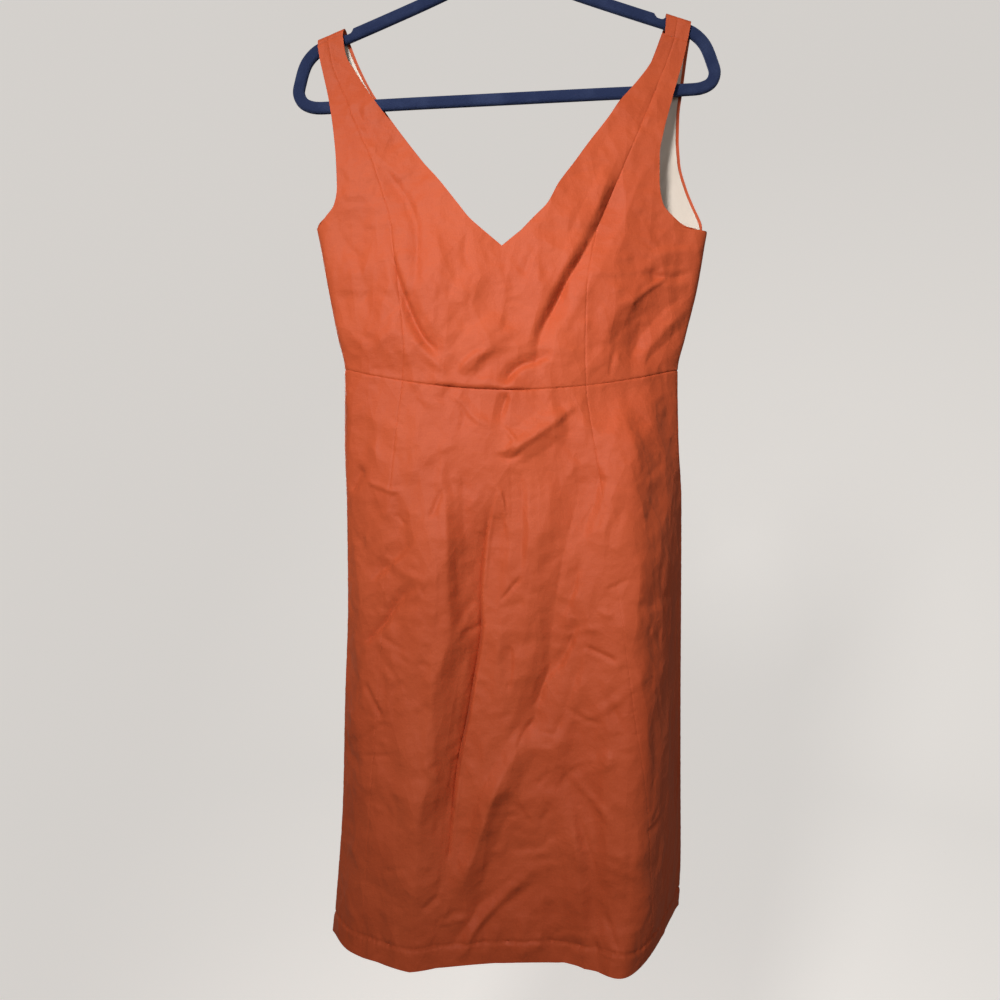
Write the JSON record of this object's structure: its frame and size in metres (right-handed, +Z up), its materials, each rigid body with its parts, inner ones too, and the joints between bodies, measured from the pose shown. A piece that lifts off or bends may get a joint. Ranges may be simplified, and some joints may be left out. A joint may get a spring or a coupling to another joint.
{
  "type": "sleeveless a-line dress on clothes hanger",
  "caption": "Sleeveless V-neck a-line dress with a waist seam, princess seams and a side zip, hanging on a slim flocked clothes hanger.",
  "frame": {"origin": "the inner top of the hanger's hook, where it rests on a rod or wall hook", "axes": "+Z up, -Y out of the dress's front, +X to the viewer's right seen from the front, which is the wearer's left"},
  "size_m": [0.445, 0.1387, 1.0961],
  "materials": {
    "orange_cloth": "crisp slubbed plain weave with a low sheen",
    "cream_lining": "smooth pale lining",
    "blue_flock": "navy velvet flock over moulded plastic",
    "hook_steel": "bright plated steel wire",
    "zip_enamel": "enamel in the cloth's colour"
  },
  "bodies": {
    "dress": {"bodice_front": "orange_cloth", "bodice_side_front_left": "orange_cloth", "bodice_side_front_right": "orange_cloth", "bodice_back": "orange_cloth", "bodice_side_back_left": "orange_cloth", "bodice_side_back_right": "orange_cloth", "back_lining": "cream_lining", "skirt_front": "orange_cloth", "skirt_side_front_left": "orange_cloth", "skirt_side_front_right": "orange_cloth", "skirt_back": "orange_cloth", "skirt_side_back_left": "orange_cloth", "skirt_side_back_right": "orange_cloth", "zip_tape": "orange_cloth", "zip_slider": "zip_enamel", "hanger_frame": "blue_flock", "hanger_ferrule": "hook_steel", "hanger_hook": "hook_steel"},
    "pull": {"zip_pull": "zip_enamel"}
  },
  "joints": [
    {"name": "pull_swing", "type": "hinge", "parent": "dress", "child": "pull", "pos_m": [0.21474, 0.00963, -0.36999], "axis": [0.8532, -0.5191, -0.0517], "range_deg": [0, 150]}
  ]
}
